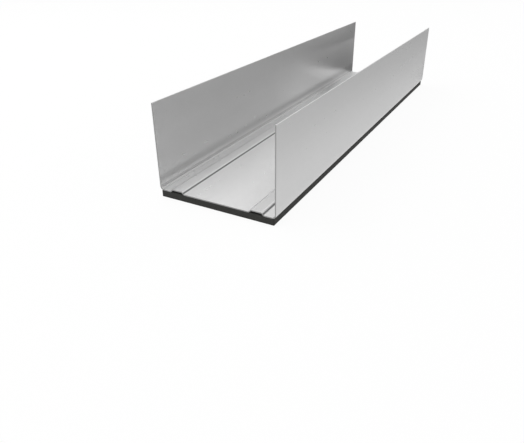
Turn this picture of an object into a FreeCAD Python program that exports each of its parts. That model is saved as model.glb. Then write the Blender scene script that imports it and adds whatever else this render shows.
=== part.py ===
"""Sheet-metal U-channel with a seal strip, the bottom or top track of a stud wall.

The channel is roll-formed from one thin galvanised strip. It is open at the top, its web is stiffened by two
flat-topped ribs pressed up along its whole length, and its flanges stand square on rounded bends. A flat foam strip
is glued under the web.

X runs across the channel, Y along it and Z up. The origin is the centre of the foam strip's underside.
"""
import FreeCAD, Part

import math
import os

import Sketcher

# Driving sizes in millimetres and degrees: alias, value, meaning
SIZES = (
    ("track_length", 310.0, "cut length of channel and strip"),
    ("web_width", 73.0, "outside width over both flanges"),
    ("flange_height", 50.0, "web underside to flange tip"),
    ("sheet_thickness", 0.6, "thickness of the sheet"),
    ("bend_radius", 1.5, "inside radius between web and flange"),
    ("rib_spacing", 50.0, "between the middles of the two ribs"),
    ("rib_flat_width", 5.5, "flat stretch on top of a rib"),
    ("rib_height", 1.3, "step from the web up to a rib"),
    ("rib_slope", 45.0, "angle of a rib's sides to the web"),
    ("rib_bend_radius", 0.8, "inside radius of a rib's four bends"),
    ("seal_thickness", 4.0, "thickness of the foam strip"),
    ("seal_inset", 1.0, "strip's edge in from the channel's side"),
)

# Positions of a point on a sketch edge
START, END, CENTRE = range(1, 4)
# A sketch's own axes are numbered down from -1, and its origin is the start of the horizontal one
HORIZONTAL_AXIS, VERTICAL_AXIS = range(-1, -3, -1)
ORIGIN = (HORIZONTAL_AXIS, START)


def make_sizes(doc):
    """The spreadsheet that every size of the model is bound to."""
    sheet = doc.addObject("Spreadsheet::Sheet", "sizes")
    for row, (alias, size, meaning) in enumerate(SIZES, start=1):
        sheet.set(f"A{row}", meaning)
        sheet.set(f"B{row}", str(size))
        sheet.setAlias(f"B{row}", alias)
    doc.recompute()
    return sheet


def start_body(doc, name, sketch_name, plane_role):
    """A body with one empty sketch, attached to one of the body's own origin planes."""
    body = doc.addObject("PartDesign::Body", name)
    body.Label = name
    sketch = body.newObject("Sketcher::SketchObject", sketch_name)
    sketch.AttachmentSupport = (origin_plane(body, plane_role), [""])
    sketch.MapMode = "FlatFace"
    return body, sketch


def origin_plane(body, role):
    return next(feature for feature in body.Origin.OriginFeatures if feature.Role == role)


def bind(sketch, name, expression, *constraint):
    """Adds a dimension with a name, and ties its value to the spreadsheet."""
    index = sketch.addConstraint(Sketcher.Constraint(*constraint))
    sketch.renameConstraint(index, name)
    sketch.setExpression(f"Constraints.{name}", expression)


def underside_path(sheet):
    """The underside of half the section, from the middle of the web out and up to the flange tip.

    It is a row of straights and bends. Returned are the points where they meet, each with its heading in radians,
    and the bends, each with its turn and the radius of its underside.
    """
    thickness = sheet.sheet_thickness
    slope = math.radians(sheet.rib_slope)
    tight = sheet.rib_bend_radius
    wide = tight + thickness
    corner = sheet.bend_radius + thickness

    # A rib's side is a bend up, a straight and a bend back to level
    rise_in_bends = (tight + wide) * (1 - math.cos(slope))
    side = (sheet.rib_height - rise_in_bends) / math.sin(slope)
    side_run = (tight + wide) * math.sin(slope) + side * math.cos(slope)
    rib_half = sheet.rib_flat_width / 2 + side_run

    straights = (
        sheet.rib_spacing / 2 - rib_half,
        side,
        sheet.rib_flat_width,
        side,
        (sheet.web_width - sheet.rib_spacing) / 2 - rib_half - corner,
        sheet.flange_height - corner,
    )
    bends = ((slope, wide), (-slope, tight), (-slope, tight), (slope, wide), (math.pi / 2, corner))

    x, z, heading = 0.0, sheet.seal_thickness, 0.0
    points = [(x, z, heading)]
    for straight, bend in zip(straights, bends + (None,)):
        x += straight * math.cos(heading)
        z += straight * math.sin(heading)
        points.append((x, z, heading))
        if bend:
            turn, radius = bend
            chord = 2 * radius * math.sin(abs(turn) / 2)
            x += chord * math.cos(heading + turn / 2)
            z += chord * math.sin(heading + turn / 2)
            heading += turn
            points.append((x, z, heading))
    return points, bends


def draw_side(sketch, points, bends, offset):
    """Draws the section's line at one offset from the underside, and joins its edges tangentially."""
    place = [
        FreeCAD.Vector(x - offset * math.sin(heading), z + offset * math.cos(heading), 0)
        for x, z, heading in points
    ]
    edges = [sketch.addGeometry(Part.LineSegment(place[0], place[1]))]
    for number, (turn, underside_radius) in enumerate(bends):
        first, last = place[2 * number + 1], place[2 * number + 2]
        heading = points[2 * number + 1][2]
        radius = underside_radius - math.copysign(offset, turn)
        to_centre = math.copysign(radius, turn)
        centre = first + FreeCAD.Vector(-math.sin(heading), math.cos(heading), 0) * to_centre
        from_angle = heading - math.copysign(math.pi / 2, turn)
        begin, finish = sorted((from_angle, from_angle + turn))
        circle = Part.Circle(centre, FreeCAD.Vector(0, 0, 1), radius)
        bend = sketch.addGeometry(Part.ArcOfCircle(circle, begin, finish))
        line = sketch.addGeometry(Part.LineSegment(last, place[2 * number + 3]))
        # An arc runs anticlockwise, so a bend to the right is met at its end first
        enter, leave = (START, END) if turn > 0 else (END, START)
        sketch.addConstraint([
            Sketcher.Constraint("Tangent", edges[-1], END, bend, enter),
            Sketcher.Constraint("Tangent", bend, leave, line, START),
        ])
        edges += [bend, line]
    return edges


def draw_half_section(sketch, sheet):
    """The closed outline of half the sheet's section, from the middle of the web to one flange tip."""
    points, bends = underside_path(sheet)
    under = draw_side(sketch, points, bends, 0.0)
    upper = draw_side(sketch, points, bends, sheet.sheet_thickness)
    web, foot_in, side_in, edge_in, rib, edge_out, side_out, foot_out, strip, corner, flange = range(len(under))

    ends = [sketch.getPoint(under[flange], END), sketch.getPoint(upper[flange], END)]
    tip = sketch.addGeometry(Part.LineSegment(*ends))
    middles = [sketch.getPoint(upper[web], START), sketch.getPoint(under[web], START)]
    middle = sketch.addGeometry(Part.LineSegment(*middles))
    level = [side[part] for side in (under, upper) for part in (web, rib, strip)]

    sketch.addConstraint([
        Sketcher.Constraint("Coincident", under[flange], END, tip, START),
        Sketcher.Constraint("Coincident", upper[flange], END, tip, END),
        Sketcher.Constraint("Coincident", upper[web], START, middle, START),
        Sketcher.Constraint("Coincident", under[web], START, middle, END),
        Sketcher.Constraint("PointOnObject", under[web], START, VERTICAL_AXIS),
        Sketcher.Constraint("Horizontal", tip),
        Sketcher.Constraint("Vertical", middle),
        Sketcher.Constraint("Vertical", under[flange]),
        Sketcher.Constraint("Vertical", upper[flange]),
        Sketcher.Constraint("Horizontal", under[web], END, under[strip], START),
        Sketcher.Constraint("Horizontal", upper[web], END, upper[strip], START),
        Sketcher.Constraint("Equal", under[side_in], under[side_out]),
    ])
    sketch.addConstraint([Sketcher.Constraint("Horizontal", edge) for edge in level])
    for bend in (foot_in, edge_in, edge_out, foot_out, corner):
        sketch.addConstraint(Sketcher.Constraint("Coincident", under[bend], CENTRE, upper[bend], CENTRE))

    # A bend's inside is above the sheet at a rib's foot and below it at a rib's edge
    for bend in (under[edge_in], under[edge_out], upper[foot_out]):
        sketch.addConstraint(Sketcher.Constraint("Equal", upper[foot_in], bend))
    bind(sketch, "rib_bend", "sizes.rib_bend_radius", "Radius", upper[foot_in], sheet.rib_bend_radius)
    bind(sketch, "corner_bend", "sizes.bend_radius", "Radius", upper[corner], sheet.bend_radius)

    bind(sketch, "web_sheet", "sizes.sheet_thickness",
         "DistanceY", under[web], START, upper[web], START, sheet.sheet_thickness)
    bind(sketch, "rib_sheet", "sizes.sheet_thickness",
         "DistanceY", under[rib], START, upper[rib], START, sheet.sheet_thickness)
    bind(sketch, "web_level", "sizes.seal_thickness",
         "DistanceY", *ORIGIN, under[web], START, sheet.seal_thickness)
    bind(sketch, "rib_level", "sizes.rib_height",
         "DistanceY", under[web], END, under[rib], START, sheet.rib_height)
    bind(sketch, "tip_level", "sizes.flange_height",
         "DistanceY", under[web], START, under[flange], END, sheet.flange_height)
    bind(sketch, "half_width", "sizes.web_width / 2",
         "DistanceX", *ORIGIN, under[flange], END, sheet.web_width / 2)
    bind(sketch, "rib_slope", "sizes.rib_slope * 1 deg",
         "Angle", under[side_in], math.radians(sheet.rib_slope))
    bind(sketch, "rib_flat", "sizes.rib_flat_width",
         "DistanceX", under[rib], START, under[rib], END, sheet.rib_flat_width)
    bind(sketch, "rib_place", "(sizes.rib_spacing - sizes.rib_flat_width) / 2",
         "DistanceX", *ORIGIN, under[rib], START, (sheet.rib_spacing - sheet.rib_flat_width) / 2)


def make_channel(doc, sheet):
    """Half the section, drawn out to the full length and mirrored to the other side."""
    body, sketch = start_body(doc, "channel", "half_section", "XZ_Plane")
    draw_half_section(sketch, sheet)

    half = body.newObject("PartDesign::Pad", "half_channel")
    half.Profile = sketch
    half.SideType = "Symmetric"
    half.setExpression("Length", "sizes.track_length")

    both = body.newObject("PartDesign::Mirrored", "both_halves")
    both.Originals = [half]
    both.MirrorPlane = (origin_plane(body, "YZ_Plane"), [""])
    body.Tip = both
    return body


def make_seal_strip(doc, sheet):
    """A flat strip as long as the channel, a little narrower than its web, with its top on the web's underside."""
    body, sketch = start_body(doc, "seal_strip", "strip_outline", "XY_Plane")
    half_width = sheet.web_width / 2 - sheet.seal_inset
    half_length = sheet.track_length / 2
    corners = [
        FreeCAD.Vector(x * half_width, y * half_length, 0)
        for x, y in ((-1, -1), (1, -1), (1, 1), (-1, 1))
    ]
    near, right, far, left = (
        sketch.addGeometry(Part.LineSegment(corners[number], corners[(number + 1) % len(corners)]))
        for number in range(len(corners))
    )
    for edge, following in ((near, right), (right, far), (far, left), (left, near)):
        sketch.addConstraint(Sketcher.Constraint("Coincident", edge, END, following, START))
    sketch.addConstraint([
        Sketcher.Constraint("Horizontal", near),
        Sketcher.Constraint("Horizontal", far),
        Sketcher.Constraint("Vertical", right),
        Sketcher.Constraint("Vertical", left),
        Sketcher.Constraint("Symmetric", near, START, far, START, *ORIGIN),
    ])
    bind(sketch, "strip_width", "sizes.web_width - 2 * sizes.seal_inset",
         "DistanceX", near, START, near, END, 2 * half_width)
    bind(sketch, "strip_length", "sizes.track_length",
         "DistanceY", right, START, right, END, 2 * half_length)

    strip = body.newObject("PartDesign::Pad", "strip")
    strip.Profile = sketch
    strip.setExpression("Length", "sizes.seal_thickness")
    body.Tip = strip
    return body


def check(doc, bodies):
    """Stops before anything is written if a feature failed or a piece isn't one sound solid."""
    doc.recompute()
    for thing in doc.Objects:
        if "Invalid" in thing.State or "Error" in thing.State:
            raise RuntimeError(f"{thing.Name} failed: {thing.State}")
        if thing.TypeId == "Sketcher::SketchObject" and not thing.FullyConstrained:
            raise RuntimeError(f"{thing.Name} isn't fully constrained")
    for body in bodies:
        if body.Shape.isNull() or not body.Shape.isValid() or len(body.Shape.Solids) != 1:
            raise RuntimeError(f"{body.Label} isn't one valid solid")


def main():
    doc = FreeCAD.newDocument("u_channel")
    sheet = make_sizes(doc)
    bodies = [make_channel(doc, sheet), make_seal_strip(doc, sheet)]
    check(doc, bodies)
    os.makedirs("parts", exist_ok=True)
    for body in bodies:
        body.Shape.exportStep(f"parts/{body.Label}.step")
        print(f"{body.Label}: {body.Shape.Volume:.1f} cubic mm, {len(body.Shape.Faces)} faces")


main()
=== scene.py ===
"""Looks of a galvanised U-channel with a foam seal strip, on a pale studio floor.

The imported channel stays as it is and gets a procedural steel. The foam strip is soft, so a modelled strip
stands for its plain solid. Lengths are in metres: X runs across the channel, Y along it and Z up.
"""
import math

import bmesh
import bpy
from mathutils import Matrix, Vector, noise


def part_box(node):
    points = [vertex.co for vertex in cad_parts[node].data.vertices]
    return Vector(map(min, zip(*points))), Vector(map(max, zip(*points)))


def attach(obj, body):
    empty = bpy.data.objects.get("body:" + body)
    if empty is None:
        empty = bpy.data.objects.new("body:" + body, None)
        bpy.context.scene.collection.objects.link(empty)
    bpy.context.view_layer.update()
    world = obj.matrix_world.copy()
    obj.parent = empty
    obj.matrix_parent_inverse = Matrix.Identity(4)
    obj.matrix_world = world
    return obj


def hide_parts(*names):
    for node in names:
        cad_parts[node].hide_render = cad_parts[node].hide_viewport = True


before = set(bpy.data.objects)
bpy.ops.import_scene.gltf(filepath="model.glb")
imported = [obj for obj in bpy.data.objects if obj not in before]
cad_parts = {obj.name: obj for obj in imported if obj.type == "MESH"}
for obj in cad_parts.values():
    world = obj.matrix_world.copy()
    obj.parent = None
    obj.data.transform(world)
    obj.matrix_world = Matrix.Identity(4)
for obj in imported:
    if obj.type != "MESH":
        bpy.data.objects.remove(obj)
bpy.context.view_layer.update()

MM = 0.001
STRIP_LOW, STRIP_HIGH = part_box("seal_strip")
CHANNEL_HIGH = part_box("channel")[1]
HALF_LENGTH = CHANNEL_HIGH.y

# Photograph: its size, and its camera's place, direction in degrees, and lens and lens centre in pixels
PHOTO_WIDTH, PHOTO_HEIGHT = 524, 443
CAMERA_PLACE = Vector((0.1396, -0.3536, 0.1323))
CAMERA_AZIMUTH, CAMERA_ELEVATION, CAMERA_ROLL = 27.22, 27.67, 0.33
FOCAL_PIXELS = 511.3
CENTRE_PIXEL = (277.7, 200.5)
SENSOR_WIDTH = 36.0

# Floor: part of it is white light for eyes and mirrors, and the rest is diffuse and takes the shadow
FLOOR_DROP = 0.1 * MM
FLOOR_REACH = 6.0
FLOOR_WHITE_SHARE = 0.93
FLOOR_GREY = 0.8
WORLD_LEVEL = 0.85

# Softboxes: azimuth clockwise from +Y and elevation in degrees, width, height and brightness
LAMP_DISTANCE = 1.0
LAMPS = {
    "left": (-100, 50, 1.2, 0.8, 0.75),
    "front_left": (-140, 40, 1.2, 0.8, 0.65),
    "back_left": (-45, 56, 1.0, 0.6, 0.66),
    "far_low": (28, 20, 0.5, 0.32, 0.5),
    "back_right": (48, 30, 0.3, 0.35, 1.5),
    "right_low": (80, 14, 0.8, 0.3, 1.2),
}

# Cards, which only reflections show: a dark one on the floor past the far end, and an upright flag there
CARD_LIFT = 0.4 * MM
DARK_CARD_LEVEL = 0.15
DARK_CARD = ((-0.120, 0.158), (0.037, 0.158), (0.045, 0.197), (0.045, 0.600), (-0.120, 0.600))
FLAG_LEVEL = 0.18
FLAG_Y = 0.165
FLAG = ((-0.045, 0.043), (0.0385, 0.009), (0.0385, 0.022), (-0.045, 0.062))

# Grey card along the right side, darker outwards and along the part
GREY_CARD = (
    (0.040, -0.250), (0.300, -0.250), (0.300, 0.700), (0.055, 0.700), (0.046, 0.197), (0.040, 0.157),
)
GREY_CARD_LEVEL = 0.70
GREY_CARD_FALL_ALONG = 0.37
GREY_CARD_FALL_OUT = 4.5
GREY_CARD_FALL_FROM, GREY_CARD_FALL_TO = 0.059, 0.104
GREY_CARD_LEAST = 0.30

# Card standing in the back left
BACK_CARD_LEVEL = 0.52
BACK_CARD = ((-1.05, 0.55, 0.28), (0.05, 1.10, 0.28), (0.05, 1.10, 0.62), (-1.05, 0.55, 0.62))

# Steel, with the size and strength of its spangle, rolling lines, bands and clouds
STEEL_GREY = 0.70
STEEL_METALLIC = 0.8
STEEL_ROUGHNESS = 0.28
SPANGLE_SIZE, SPANGLE_SHADE, SPANGLE_ROUGHNESS = 3.4 * MM, 0.008, 0.01
LINE_SIZE, LINE_SHADE, LINE_ROUGHNESS = 2.0 * MM, 0.01, 0.02
BAND_SIZE, BAND_SHADE = 9.0 * MM, 0.015
CLOUD_SIZE, CLOUD_SHADE = 28.0 * MM, 0.015
ROLLING_STRETCH = 0.012

# Feet of the rib slopes, with painted shade in the creases: deep at a rib's right foot, most on the left rib
RIB_CENTRE = 25.0 * MM
RIB_FOOT = 4.1 * MM
CREASE_HALF_WIDTH = 0.6 * MM
CREASE_PAINTED_SHADE = 0.80
CREASE_PAINTED_SHADE_FALL = 5.0
FAINT_CREASE_PAINTED_SHADE = 0.06
CREASE_ROUGHNESS = 0.06

# Inner faces: where X, and X minus height, are below these, which leaves the outer faces and bends out
INNER_FACE = 36.2 * MM
INNER_CORNER = 30.6 * MM

# Painted shade at the flange feet on their inner faces: heights of a soft band and of a thin line over the
# bend
FLANGE_FOOT = 10.2 * MM
FOOT_HALF_WIDTH = 5.4 * MM
FOOT_PAINTED_SHADE = 0.22
BEND_LINE = 6.5 * MM
BEND_LINE_HALF_WIDTH = 0.9 * MM
BEND_LINE_PAINTED_SHADE = 0.28

# Painted shade over the bend itself, placed by X plus height, which falls all the way round it
BEND_PLACE = 40.7 * MM
BEND_HALF_WIDTH = 1.5 * MM
BEND_PAINTED_SHADE = 0.40

# Cut edges of the sheet, with the sheared ends painted darker as shade
EDGE_DEPTH = 0.05 * MM
CUT_END_PAINTED_SHADE_GREY = 0.30
SLIT_EDGE_GREY = 0.68
CUT_ROUGHNESS = 0.15

# Foam: its cells and pores, the shares that they and the clouds have in its shade, and its bumps
FOAM_DARK = (0.012, 0.012, 0.0113, 1.0)
FOAM_PALE = (0.041, 0.041, 0.0381, 1.0)
FOAM_ROUGHNESS = 0.88
FOAM_SPECULAR = 0.3
CELL_SIZE, CELL_SHARE, CELL_BUMP, CELL_DEPTH = 0.45 * MM, 0.5, 0.6, 0.12 * MM
PORE_SIZE, PORE_SHARE, PORE_BUMP, PORE_DEPTH = 1.3 * MM, 0.25, 0.5, 0.15 * MM
PORE_FROM, PORE_TO = 0.05, 0.35
FOAM_CLOUD_SIZE, FOAM_CLOUD_SHARE = 7.0 * MM, 0.3

# Foam strip: its mesh, the rounding of its long edges, and how far its knife-cut sides wander inwards
FOAM_STEP = 1.5 * MM
FOAM_COLUMNS = round((STRIP_HIGH.x - STRIP_LOW.x) / FOAM_STEP)
FOAM_ROWS = round((STRIP_HIGH.y - STRIP_LOW.y) / FOAM_STEP)
FOAM_RISE_STEPS = 8
FOAM_EDGE_RADIUS = 0.25 * MM
FOAM_EDGE_STEPS = 3
FOAM_WANDER = 0.10 * MM
FOAM_WANDER_LENGTH = 9.0 * MM
FOAM_WANDER_RISE = 2


class Tree:
    """Adds nodes to a node tree, and sets or links their inputs by name or number."""

    def __init__(self, owner):
        owner.use_nodes = True
        self.tree = owner.node_tree
        self.tree.nodes.clear()

    def add(self, kind, inputs=None, **settings):
        node = self.tree.nodes.new(kind)
        for name, value in settings.items():
            setattr(node, name, value)
        for name, value in (inputs or {}).items():
            if isinstance(value, bpy.types.NodeSocket):
                self.tree.links.new(value, node.inputs[name])
            else:
                node.inputs[name].default_value = value
        return node

    def math(self, operation, *values):
        return self.add("ShaderNodeMath", dict(enumerate(values)), operation=operation).outputs[0]

    def noise(self, place, size, detail):
        return self.add("ShaderNodeTexNoise", {"Vector": place, "Scale": 1 / size, "Detail": detail}).outputs

    def voronoi(self, place, size):
        return self.add("ShaderNodeTexVoronoi", {"Vector": place, "Scale": 1 / size}).outputs["Distance"]


def make_camera():
    azimuth, elevation, roll = map(math.radians, (CAMERA_AZIMUTH, CAMERA_ELEVATION, CAMERA_ROLL))
    back = Vector((
        math.sin(azimuth) * math.cos(elevation),
        -math.cos(azimuth) * math.cos(elevation),
        math.sin(elevation),
    ))
    level = Vector((math.cos(azimuth), math.sin(azimuth), 0.0))
    upright = back.cross(level)
    right = math.cos(roll) * level + math.sin(roll) * upright
    up = -math.sin(roll) * level + math.cos(roll) * upright

    camera = bpy.data.objects.new("photo_camera", bpy.data.cameras.new("photo_camera"))
    bpy.context.scene.collection.objects.link(camera)
    camera.matrix_world = Matrix.Translation(CAMERA_PLACE) @ Matrix((right, up, back)).transposed().to_4x4()
    camera.data.sensor_width = SENSOR_WIDTH
    camera.data.lens = FOCAL_PIXELS * SENSOR_WIDTH / PHOTO_WIDTH
    camera.data.shift_x = (PHOTO_WIDTH / 2 - CENTRE_PIXEL[0]) / PHOTO_WIDTH
    camera.data.shift_y = (CENTRE_PIXEL[1] - PHOTO_HEIGHT / 2) / PHOTO_WIDTH
    bpy.context.scene.camera = camera


def link_mesh(name, verts, faces, material):
    mesh = bpy.data.meshes.new(name)
    mesh.from_pydata(verts, [], faces)
    mesh.materials.append(material)
    piece = bpy.data.objects.new(name, mesh)
    bpy.context.scene.collection.objects.link(piece)
    return piece


def grey(value):
    return (value, value, value, 1.0)


def crease(tree, value, middle, half_width):
    """A mask that is 1 where the value is at the middle, and fades to 0 at the half width from it."""
    distance = tree.math("ABSOLUTE", tree.math("SUBTRACT", value, middle))
    return tree.add("ShaderNodeMapRange", {
        "Value": distance, "From Min": 0.0, "From Max": half_width, "To Min": 1.0, "To Max": 0.0,
    }, interpolation_type="SMOOTHSTEP").outputs["Result"]


def rib_painted_shade(tree, side):
    """Masks of the right and the left foot of the ribs, each with its share of painted shade. The side is
    signed X.
    """
    right_foot = tree.math("ABSOLUTE", tree.math("SUBTRACT", side, RIB_FOOT))
    left_foot = tree.math("ABSOLUTE", tree.math("ADD", side, RIB_FOOT))
    deep = crease(tree, right_foot, RIB_CENTRE, CREASE_HALF_WIDTH)
    deep_painted_shade = tree.math("MULTIPLY_ADD", side, -CREASE_PAINTED_SHADE_FALL, CREASE_PAINTED_SHADE)
    faint = crease(tree, left_foot, RIB_CENTRE, CREASE_HALF_WIDTH)
    return [(deep, deep_painted_shade), (faint, FAINT_CREASE_PAINTED_SHADE)]


def flange_painted_shade(tree, across, height):
    """Masks of the soft band, the line and the bend at the foot of the inner faces, with their share of
    painted shade.
    """
    inner_corner = tree.math("LESS_THAN", tree.math("SUBTRACT", across, height), INNER_CORNER)
    inside = tree.math("MULTIPLY", inner_corner, tree.math("LESS_THAN", across, INNER_FACE))
    round_bend = tree.math("ADD", across, height)
    masks = (
        (crease(tree, height, FLANGE_FOOT, FOOT_HALF_WIDTH), FOOT_PAINTED_SHADE),
        (crease(tree, height, BEND_LINE, BEND_LINE_HALF_WIDTH), BEND_LINE_PAINTED_SHADE),
        (crease(tree, round_bend, BEND_PLACE, BEND_HALF_WIDTH), BEND_PAINTED_SHADE),
    )
    return [(tree.math("MULTIPLY", inside, mask), painted_shade) for mask, painted_shade in masks]


def spread(tree, value, amount):
    """A factor near 1 that follows a noise value up and down by the amount."""
    return tree.math("MULTIPLY_ADD", value, 2 * amount, 1.0 - amount)


def mix(tree, factor, first, second):
    """A colour that goes from the first to the second with the factor."""
    return tree.add("ShaderNodeMix", {"Factor": factor, 6: first, 7: second}, data_type="RGBA").outputs[2]


def steel_material():
    """Zinc-coated sheet: satin, with a faint mottle, rolling lines along Y, bare steel at the cuts, and
    painted shade in the rib creases, at the flange feet and on the sheared ends.
    """
    material = bpy.data.materials.new("galvanised_steel_look")
    tree = Tree(material)
    place = tree.add("ShaderNodeTexCoord").outputs["Object"]
    axes = tree.add("ShaderNodeSeparateXYZ", {0: place}).outputs
    across, along, height = (tree.math("ABSOLUTE", axes[name]) for name in "XYZ")

    # Spangle: pressed flat in the mill, it shows only as a faint mottle of grey and gloss
    spangle = tree.noise(place, SPANGLE_SIZE, detail=0.0)
    spangle = tree.add("ShaderNodeSeparateColor", {0: spangle["Color"]}).outputs

    # Rolling lines and bands: noise drawn out along Y
    stretch = {0: place, 1: (1.0, ROLLING_STRETCH, 1.0)}
    drawn = tree.add("ShaderNodeVectorMath", stretch, operation="MULTIPLY").outputs[0]
    lines = tree.noise(drawn, LINE_SIZE, detail=1.0)["Fac"]
    bands = tree.noise(drawn, BAND_SIZE, detail=2.0)["Fac"]
    clouds = tree.noise(place, CLOUD_SIZE, detail=3.0)["Fac"]

    # Cut edges: the sheared ends, painted darker as shade, and the slit upper edges
    end = tree.math("GREATER_THAN", along, HALF_LENGTH - EDGE_DEPTH)
    slit = tree.math("GREATER_THAN", height, CHANNEL_HIGH.z - EDGE_DEPTH)
    cut = tree.math("MAXIMUM", end, slit)

    shade = spread(tree, spangle["Red"], SPANGLE_SHADE)
    for value, amount in ((lines, LINE_SHADE), (bands, BAND_SHADE), (clouds, CLOUD_SHADE)):
        shade = tree.math("MULTIPLY", shade, spread(tree, value, amount))
    # Painted shade: the colour is darker in the creases at the feet of the ribs and of the flanges
    shaded_creases = rib_painted_shade(tree, axes["X"]) + flange_painted_shade(tree, across, height)
    for mask, painted_shade in shaded_creases:
        kept = tree.math("SUBTRACT", 1.0, tree.math("MULTIPLY", mask, painted_shade))
        shade = tree.math("MULTIPLY", shade, kept)
    shade = tree.math("MULTIPLY", shade, STEEL_GREY)
    zinc_and_shade = tree.add("ShaderNodeCombineColor", {"Red": shade, "Green": shade, "Blue": shade}).outputs[0]
    bare_steel_and_shade = mix(tree, slit, grey(CUT_END_PAINTED_SHADE_GREY), grey(SLIT_EDGE_GREY))
    colour = mix(tree, cut, zinc_and_shade, bare_steel_and_shade)

    deep_crease = shaded_creases[0][0]
    roughness = STEEL_ROUGHNESS - (SPANGLE_ROUGHNESS + LINE_ROUGHNESS) / 2
    for value, amount in (
        (spangle["Green"], SPANGLE_ROUGHNESS), (lines, LINE_ROUGHNESS),
        (deep_crease, CREASE_ROUGHNESS), (cut, CUT_ROUGHNESS),
    ):
        roughness = tree.math("MULTIPLY_ADD", value, amount, roughness)

    surface = tree.add("ShaderNodeBsdfPrincipled", {
        "Base Color": colour, "Metallic": STEEL_METALLIC, "Roughness": roughness,
    })
    tree.add("ShaderNodeOutputMaterial", {"Surface": surface.outputs[0]})
    return material


def foam_material():
    """Closed-cell foam: charcoal, matt, with small round cells that show on its cut faces."""
    material = bpy.data.materials.new("seal_foam_look")
    tree = Tree(material)
    place = tree.add("ShaderNodeTexCoord").outputs["Object"]
    cells = tree.voronoi(place, CELL_SIZE)
    pores = tree.voronoi(place, PORE_SIZE)
    clouds = tree.noise(place, FOAM_CLOUD_SIZE, detail=4.0)["Fac"]
    pits = tree.add("ShaderNodeMapRange", {
        "Value": pores, "From Min": PORE_FROM, "From Max": PORE_TO, "To Min": 0.0, "To Max": 1.0,
    }).outputs["Result"]
    walls = tree.math("MULTIPLY_ADD", cells, CELL_SHARE, tree.math("MULTIPLY", clouds, FOAM_CLOUD_SHARE))
    walls = tree.math("MULTIPLY_ADD", pits, PORE_SHARE, walls)
    colour = mix(tree, walls, FOAM_DARK, FOAM_PALE)
    fine = tree.add("ShaderNodeBump", {
        "Height": cells, "Strength": CELL_BUMP, "Distance": CELL_DEPTH,
    }).outputs[0]
    coarse = tree.add("ShaderNodeBump", {
        "Height": pits, "Strength": PORE_BUMP, "Distance": PORE_DEPTH, "Normal": fine,
    }).outputs[0]
    surface = tree.add("ShaderNodeBsdfPrincipled", {
        "Base Color": colour, "Roughness": FOAM_ROUGHNESS,
        "Specular IOR Level": FOAM_SPECULAR, "Normal": coarse,
    })
    tree.add("ShaderNodeOutputMaterial", {"Surface": surface.outputs[0]})
    return material


def floor_material():
    """White to the eye and in the metal, over a diffuse share that keeps the part's soft shadow."""
    material = bpy.data.materials.new("studio_floor")
    tree = Tree(material)
    path = tree.add("ShaderNodeLightPath").outputs
    seen = tree.math("MAXIMUM", path["Is Camera Ray"], path["Is Glossy Ray"])
    seen = tree.math("MAXIMUM", seen, path["Is Transmission Ray"])
    share = tree.math("MULTIPLY", seen, FLOOR_WHITE_SHARE)
    diffuse = tree.add("ShaderNodeBsdfDiffuse", {"Color": grey(FLOOR_GREY)}).outputs[0]
    white = tree.add("ShaderNodeEmission", {"Strength": 1.0}).outputs[0]
    mixed = tree.add("ShaderNodeMixShader", {0: share, 1: diffuse, 2: white}).outputs[0]
    tree.add("ShaderNodeOutputMaterial", {"Surface": mixed})
    return material


def make_floor():
    signs = ((-1, -1), (1, -1), (1, 1), (-1, 1))
    corners = [(x * FLOOR_REACH, y * FLOOR_REACH, -FLOOR_DROP) for x, y in signs]
    floor = link_mesh("studio_floor", corners, [(0, 1, 2, 3)], floor_material())


def make_world():
    world = bpy.data.worlds.new("studio")
    bpy.context.scene.world = world
    tree = Tree(world)
    pale = tree.add("ShaderNodeBackground", {"Color": grey(1.0), "Strength": WORLD_LEVEL}).outputs[0]
    tree.add("ShaderNodeOutputWorld", {"Surface": pale})


def make_lamps():
    """Softboxes turned to the middle of the part, with the power that gives their faces their brightness."""
    for name, (azimuth, elevation, width, height, level) in LAMPS.items():
        azimuth, elevation = math.radians(azimuth), math.radians(elevation)
        towards = Vector((
            math.cos(elevation) * math.sin(azimuth),
            math.cos(elevation) * math.cos(azimuth),
            math.sin(elevation),
        ))
        light = bpy.data.lights.new(name, "AREA")
        light.shape = "RECTANGLE"
        light.size, light.size_y = width, height
        light.energy = level * math.pi * width * height
        lamp = bpy.data.objects.new(name, light)
        lamp.location = LAMP_DISTANCE * towards
        lamp.rotation_euler = towards.to_track_quat("Z", "Y").to_euler()
        bpy.context.scene.collection.objects.link(lamp)


def make_card(name, corners, level):
    """A flat card of light that only reflections show. Its level is a number, or a function of its tree."""
    material = bpy.data.materials.new(name)
    tree = Tree(material)
    strength = level(tree) if callable(level) else level
    light = tree.add("ShaderNodeEmission", {"Strength": strength}).outputs[0]
    tree.add("ShaderNodeOutputMaterial", {"Surface": light})
    card = link_mesh(name, corners, [tuple(range(len(corners)))], material)
    card.visible_camera = card.visible_diffuse = card.visible_shadow = card.visible_transmission = False


def grey_card_level(tree):
    place = tree.add("ShaderNodeTexCoord").outputs["Object"]
    place = tree.add("ShaderNodeSeparateXYZ", {0: place}).outputs
    out = tree.math("MAXIMUM", place["X"], GREY_CARD_FALL_FROM)
    out = tree.math("MINIMUM", out, GREY_CARD_FALL_TO)
    out = tree.math("SUBTRACT", out, GREY_CARD_FALL_FROM)
    out = tree.math("MULTIPLY", out, GREY_CARD_FALL_OUT)
    along = tree.math("MULTIPLY", place["Y"], GREY_CARD_FALL_ALONG)
    level = tree.math("SUBTRACT", GREY_CARD_LEVEL, along)
    level = tree.math("SUBTRACT", level, out)
    return tree.math("MAXIMUM", level, GREY_CARD_LEAST)


def make_cards():
    make_card("dark_card", [(x, y, CARD_LIFT) for x, y in DARK_CARD], DARK_CARD_LEVEL)
    make_card("dark_flag", [(x, FLAG_Y, z) for x, z in FLAG], FLAG_LEVEL)
    make_card("grey_card", [(x, y, CARD_LIFT) for x, y in GREY_CARD], grey_card_level)
    make_card("back_card", BACK_CARD, BACK_CARD_LEVEL)


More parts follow.
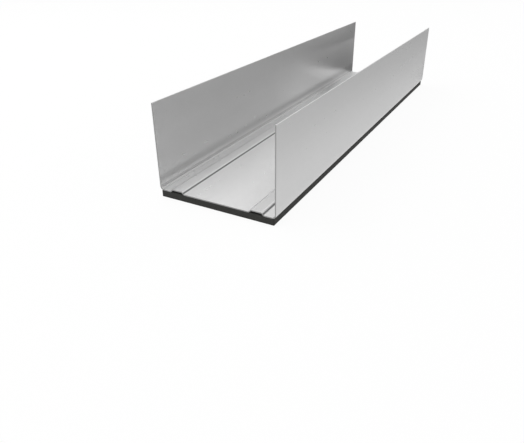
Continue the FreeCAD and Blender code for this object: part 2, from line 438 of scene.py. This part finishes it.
def foam_section(low, high):
    """Height and inset pairs from the bottom edge to the top edge of a cut side, round at both edges."""
    radius = FOAM_EDGE_RADIUS
    angles = [math.radians(90 * step / FOAM_EDGE_STEPS) for step in range(FOAM_EDGE_STEPS)]
    points = [(radius * (1 - math.cos(angle)), radius * (1 - math.sin(angle))) for angle in angles]
    lower = [(low + rise, inset) for rise, inset in points]
    upper = [(high - rise, inset) for rise, inset in reversed(points)]
    flat = high - low - 2 * radius
    rises = [radius + flat * step / FOAM_RISE_STEPS for step in range(FOAM_RISE_STEPS + 1)]
    return lower + [(low + rise, 0.0) for rise in rises] + upper


def strip_place(column, row):
    """X and Y of a grid point of the strip, counted from its low corner."""
    x = STRIP_LOW.x + column / FOAM_COLUMNS * (STRIP_HIGH.x - STRIP_LOW.x)
    y = STRIP_LOW.y + row / FOAM_ROWS * (STRIP_HIGH.y - STRIP_LOW.y)
    return x, y


def rim_point(column, row, height, inset):
    """A point of a cut side: its grid point, moved inwards by the inset and by the wander of the knife."""
    x, y = strip_place(column, row)
    seed = Vector((x, y, height * FOAM_WANDER_RISE)) / FOAM_WANDER_LENGTH
    inward = inset + FOAM_WANDER * (0.5 + 0.5 * noise.noise(seed))
    x = min(max(x, STRIP_LOW.x + inward), STRIP_HIGH.x - inward)
    y = min(max(y, STRIP_LOW.y + inward), STRIP_HIGH.y - inward)
    return x, y, height


def add_cap(mesh, rim, ring, height, upwards):
    """A level grid of faces inside a ring, which closes the top or the bottom."""
    grid = dict(zip(rim, ring))
    for column in range(1, FOAM_COLUMNS):
        for row in range(1, FOAM_ROWS):
            grid[column, row] = mesh.verts.new((*strip_place(column, row), height))
    for column in range(FOAM_COLUMNS):
        for row in range(FOAM_ROWS):
            around = ((column, row), (column + 1, row), (column + 1, row + 1), (column, row + 1))
            corners = [grid[point] for point in around]
            mesh.faces.new(corners if upwards else corners[::-1])


def strip_mesh():
    """One closed mesh: level top and bottom, and knife-cut sides that wander a little."""
    rim = (
        [(column, 0) for column in range(FOAM_COLUMNS)]
        + [(FOAM_COLUMNS, row) for row in range(FOAM_ROWS)]
        + [(FOAM_COLUMNS - column, FOAM_ROWS) for column in range(FOAM_COLUMNS)]
        + [(0, FOAM_ROWS - row) for row in range(FOAM_ROWS)]
    )
    mesh = bmesh.new()
    rings = []
    for height, inset in foam_section(STRIP_LOW.z, STRIP_HIGH.z):
        rings.append([mesh.verts.new(rim_point(*point, height, inset)) for point in rim])
    for lower, upper in zip(rings, rings[1:]):
        for index in range(len(rim)):
            after = (index + 1) % len(rim)
            mesh.faces.new((lower[index], lower[after], upper[after], upper[index]))
    add_cap(mesh, rim, rings[0], STRIP_LOW.z, upwards=False)
    add_cap(mesh, rim, rings[-1], STRIP_HIGH.z, upwards=True)
    return mesh


def make_strip():
    mesh = strip_mesh()
    strip = link_mesh("foam_strip", [], [], foam_material())
    mesh.to_mesh(strip.data)
    mesh.free()
    strip.data.shade_smooth()
    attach(strip, "root")
    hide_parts("seal_strip")


bpy.context.scene.view_settings.view_transform = "Standard"
make_camera()
make_world()
make_lamps()
make_floor()
make_cards()
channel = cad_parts["channel"]
channel.data.materials[0] = steel_material()
make_strip()
